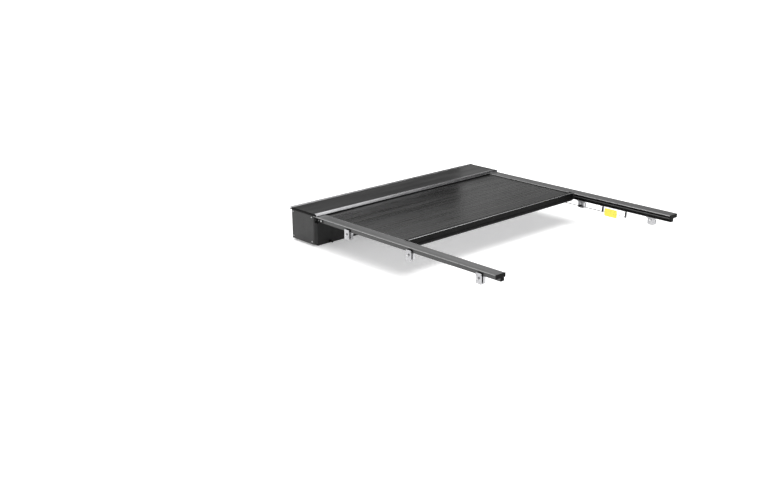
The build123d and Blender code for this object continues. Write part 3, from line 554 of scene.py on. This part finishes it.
def make_skin(material):
    """The vinyl over the slats: lightly crowned over each slat, and drawn down into each joint."""
    low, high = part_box("curtain_skin")
    pitch = slat_pitch()
    crown = 0.25 * MM
    dip = 0.35 * MM
    dip_width = 1.3 * MM
    wave_height = 0.50 * MM
    slack_height = 0.25 * MM
    top_margin = 0.1 * MM
    bottom_overlap = 0.2 * MM
    shares = (0, 0.03, 0.06, 0.1, 0.16, 0.25, 0.37, 0.5, 0.63, 0.75, 0.84, 0.9, 0.94, 0.97)
    rows = [low.y + pitch * (slat + share) for slat in range(SLAT_COUNT) for share in shares]
    rows.append(high.y)
    columns = spaced(low.x, high.x, 90)
    profiles = []
    for y in rows:
        slats_along = (y - low.y) / pitch
        from_joint = abs(slats_along - round(slats_along)) * pitch
        sunk = crown * (1 - math.sin(math.pi * from_joint / pitch))
        sunk += dip * math.exp(-((from_joint / dip_width) ** 2))
        top = []
        for x in columns:
            wave = wave_height * ripple(x * 0.8, y * 12, 0.3)
            slack = slack_height * ripple(x * 1.5, y * 30, 4.1)
            uneven = 1 + 0.5 * ripple(x * 1.2, y * 40, 9)
            top.append((x, y, high.z - top_margin - sunk * uneven + wave + slack))
        bottom = [(x, y, low.z - bottom_overlap) for x in reversed(columns)]
        profiles.append(top + bottom)
    skin = new_piece("curtain_vinyl_skin", *strip_mesh(profiles), material)
    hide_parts("curtain_skin")
    return skin


def bend_with_cover(*pieces):
    """Bakes each piece's placement into its mesh: the run of the curtain between the roller, which
    stays, and the bar, which slides.
    """
    for piece in pieces:
        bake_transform(piece)


# ---- Lid skin, foam and tag ---------------------------------------------------------------------
def make_lid_skin(material):
    """The vinyl drawn over the lid, slightly wavy, and rolled down at its edges."""
    low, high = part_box("lid_skin")
    edge = 5 * MM
    roll_depth = 0.7 * MM
    wave_height = 0.25 * MM
    top_margin = 0.15 * MM
    rows = [low.y, low.y + 0.8 * MM, low.y + 2.5 * MM, *spaced(low.y + edge, high.y - edge, 60)]
    rows += [high.y - 2.5 * MM, high.y - 0.8 * MM, high.y]
    columns = [low.x, low.x + 1.5 * MM, *spaced(low.x + edge, high.x - edge, 120)]
    columns += [high.x - 1.5 * MM, high.x]
    profiles = []
    for y in rows:
        near_edge = min(y - low.y, high.y - y)
        roll_off = roll_depth * max(0, 1 - near_edge / edge) ** 2
        top = []
        for x in columns:
            wave = wave_height * ripple(x * 2.2, y * 8, 7.7)
            top.append((x, y, high.z - top_margin - roll_off + wave))
        profiles.append(top + [(x, y, low.z) for x in reversed(columns)])
    skin = new_piece("lid_vinyl_skin", *strip_mesh(profiles), material)
    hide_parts("lid_skin")
    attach(skin, "frame")


def make_bulkhead_foam(material):
    """A soft foam strip with rounded edges and an uneven face, pressed flat on the canister."""
    low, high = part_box("bulkhead_seal")
    middle = (low.z + high.z) / 2
    half = (high.z - low.z) / 2
    depth = high.y - low.y
    steps = 28
    end_length = 4 * MM
    uneven_height = 0.5 * MM
    least_depth = 0.05 * MM
    profiles = []
    for x in spaced(low.x, high.x, 260):
        end = min(1, (high.x - abs(x)) / end_length)
        outline = [(x, low.y, low.z), (x, low.y, high.z)]
        for step in range(steps + 1):
            along = 1 - 2 * step / steps
            crown = (1 - abs(along) ** 14) ** 0.5 * max(0.15, end) ** 0.5
            uneven = uneven_height * ripple(x * 18, along * 3, 2)
            y = low.y + depth * 0.9 * crown + uneven * crown + least_depth
            outline.append((x, y, middle + half * along))
        profiles.append(outline)
    foam = new_piece("bulkhead_foam", *strip_mesh(profiles), material)
    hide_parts("bulkhead_seal")
    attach(foam, "frame")


def make_tag(material):
    """A blank pull tag: one strip of coated cloth folded round the wire and welded to itself."""
    low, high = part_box("release_tag")
    wire_low, wire_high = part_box("release_wire")
    wire_x = (wire_low.x + wire_high.x) / 2
    wire_z = (wire_low.z + wire_high.z) / 2
    length = high.y - low.y
    width = high.z - low.z
    flat_x = low.x + 0.75 * MM
    half = 0.5 * MM
    hem = high.x - wire_x
    corner = 5 * MM
    curl_height = 0.9 * MM
    profiles = []
    for y in spaced(low.y, high.y, 48):
        near_end = min(y - low.y, high.y - y)
        cut = corner - math.sqrt(max(0, corner ** 2 - max(0, corner - near_end) ** 2))
        front, back = [], []
        for z in spaced(low.z + cut, high.z - cut, 40):
            offset = abs(z - wire_z)
            curl = curl_height * math.sin(3.1 * (y - low.y) / length) * ((z - wire_z) / width) ** 2
            back_x = flat_x + half - curl
            if offset < hem:
                back_x = max(back_x, wire_x + hem * math.cos(offset / hem * math.pi / 2))
            front.append((flat_x - half - curl, y, z))
            back.append((back_x, y, z))
        profiles.append(front + back[::-1])
    tag = new_piece("pull_tag", *strip_mesh(profiles), material)
    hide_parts("release_tag")
    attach(tag, "release")


# ---- Return spring ------------------------------------------------------------------------------
def make_spring(material):
    """The coil spring round the clutch wire."""
    low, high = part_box("return_spring")
    middle_x = (low.x + high.x) / 2
    middle_z = (low.z + high.z) / 2
    wire = 0.5 * MM
    radius = (high.x - low.x) / 2 - wire
    turns = 10
    steps = 24
    sides = 8
    profiles = []
    for step in range(turns * steps + 1):
        share = step / (turns * steps)
        angle = math.tau * turns * share
        y = low.y + wire + (high.y - low.y - 2 * wire) * share
        ring = []
        for side in range(sides):
            around = math.tau * side / sides
            reach = radius + wire * math.cos(around)
            x = middle_x + reach * math.cos(angle)
            z = middle_z + reach * math.sin(angle)
            ring.append((x, y + wire * math.sin(around), z))
        profiles.append(ring)
    spring = new_piece("coil_spring", *strip_mesh(profiles), material)
    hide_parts("return_spring")
    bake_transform(spring)


# ---- Curtain roll -------------------------------------------------------------------------------
def make_roll(slat_material, vinyl_material):
    """The wound curtain: slats side by side on a spiral round the tube, under a layer of vinyl."""
    low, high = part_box("curtain_roll")
    tube_low, tube_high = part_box("roller_tube")
    axis_y = (tube_low.y + tube_high.y) / 2
    axis_z = (tube_low.z + tube_high.z) / 2
    growth = 4.8 * MM  # of the radius, each half turn
    first_radius = (tube_high.z - tube_low.z) / 2 + 0.4 * MM
    slat_inside, slat_middle, slat_outside = 0.2 * MM, 3.7 * MM, 7.3 * MM
    vinyl_inside, vinyl_middle, vinyl_outside = 7.5 * MM, 8 * MM, 8.8 * MM
    turns = 2.25
    ends = (low.x, high.x)
    first_angle = 0.01
    last_angle = turns * math.tau
    pitch = slat_pitch()

    def spiral(angle, lift):
        half_turns = int(angle // math.pi)
        reach = first_radius + growth * half_turns + lift
        centre = axis_y + (growth if half_turns % 2 else 0)
        return centre + reach * math.cos(angle), axis_z + reach * math.sin(angle)

    def slat_angle(angle):
        return pitch / (first_radius + growth * int(angle // math.pi) + slat_middle)

    points, faces = [], []
    angle = first_angle
    while angle + slat_angle(angle) <= last_angle:
        width = slat_angle(angle)
        inner = [spiral(angle + width * share, slat_inside) for share in (0.14, 0.5, 0.86)]
        outer = [spiral(angle + width * share, slat_outside) for share in (0.99, 0.66, 0.33, 0.01)]
        add_solid(points, faces, *strip_mesh(along_x(inner + outer, ends)))
        angle += width
    slats = new_piece("rolled_slats", points, faces, slat_material, smooth=False)
    angles = spaced(first_angle, last_angle - 0.001, 160)
    outline = [spiral(angle, vinyl_inside) for angle in angles]
    outline += [spiral(angle, vinyl_outside) for angle in reversed(angles)]
    skin = new_piece("rolled_vinyl", *strip_mesh(along_x(outline, ends)), vinyl_material, smooth=False)
    for piece, name in ((slats, "slat_metal"), (skin, "curtain_vinyl")):
        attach(piece, "roller")
    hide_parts("curtain_roll")


# ---- Putting it together ------------------------------------------------------------------------
def dress_frame(steel):
    """Gives every CAD node that stays visible its material."""
    rail = make_rail_paint()
    plastic = make_moulded_plastic("black_plastic", grey(0.002), grey(0.005), 0.08)
    smooth_plastic = make_moulded_plastic("smooth_plastic", grey(0.006), grey(0.010), 0.6)
    grey_plastic = make_moulded_plastic("grey_plastic", grey(0.022), grey(0.034), 0.35)
    glide = make_moulded_plastic("glide_plastic", grey(0.030, 0.001), grey(0.045), 0.4)
    sheath = make_moulded_plastic("sheath_plastic", grey(0.010), grey(0.018), 0.4)
    rubber = make_rubber("seal_rubber")
    cast = make_cast_aluminium()
    canister = make_powder_coat("canister_coat", grey(0.010), grey(0.018), 0.55, 0.3)
    bar = make_powder_coat("bar_coat", grey(0.002), grey(0.004), 0.50, 0.08)
    motor = make_powder_coat("motor_coat", grey(0.05, 0.002), grey(0.075, 0.002), 0.5, 0.4)
    nose = make_bare_aluminium("nose_aluminium", grey(0.46, 0.01), 0.28)
    trim = make_bare_aluminium("trim_aluminium", grey(0.66, 0.01), 0.27)
    tube = make_bare_aluminium("tube_aluminium", grey(0.66, 0.01), 0.34)

    dress(rail, *both("rail"))
    dress(plastic, *both("rail_end_cap"), *both("lid_end_cap"))
    dress(plastic, "control_case", "control_lid", "power_gland")
    dress(plastic, "mouth_guide", "drain_spigots", "cable_clips")
    dress(smooth_plastic, *both("bar_end_cap"))
    dress(grey_plastic, *both("end_cover"))
    dress(glide, *both("glide"))
    dress(rubber, *both("rail_seal"), "mouth_wiper", "tailgate_seal")
    dress(cast, *both("clamp_bodies"), *both("clamp_jaws"))
    dress(steel, "clamp_bolts", "clamp_nuts", "clamp_screws", "rail_joint_screws", "end_cover_screws")
    dress(steel, "sheath_ferrules", "wire_guide", "release_wire", "wire_crimp", "clutch_wire")
    dress(steel, "idler_plug", "axle_bearing", "clutch_lever")
    dress(canister, "canister_housing", *both("bearing_plate"), "lid_panel", "cable_brackets")
    dress(nose, "lid_nose")
    dress(trim, "lid_front_trim", "bar_trim")
    dress(bar, "leading_bar")
    dress(tube, "roller_tube")
    dress(motor, "motor", "drive_crown", "motor_ring")
    dress(sheath, "release_sheath")


make_camera()
make_studio(cad_low.z)
make_world(WORLD_STRENGTH)
make_softbox(SOFTBOX_PLACE, SOFTBOX_SIZE, SOFTBOX_POWER)
make_wash(WASH_STRENGTH, WASH_SPREAD, WASH_TILT)

curtain_vinyl = make_vinyl("curtain_vinyl", grey(0.002), grey(0.012), 0.21, 0.36)
lid_vinyl = make_vinyl("lid_vinyl", grey(0.015), grey(0.029), 0.37, 0.50)
slat_metal = make_bare_aluminium("slat_aluminium", grey(0.70, 0.01), 0.38)
plated_steel = make_plated_steel()
dress_frame(plated_steel)
bend_with_cover(make_slats(slat_metal), make_skin(curtain_vinyl))
make_roll(slat_metal, curtain_vinyl)
make_lid_skin(lid_vinyl)
make_bulkhead_foam(make_foam())
make_tag(make_tag_vinyl())
make_spring(plated_steel)

bpy.context.scene.view_settings.view_transform = "Standard"
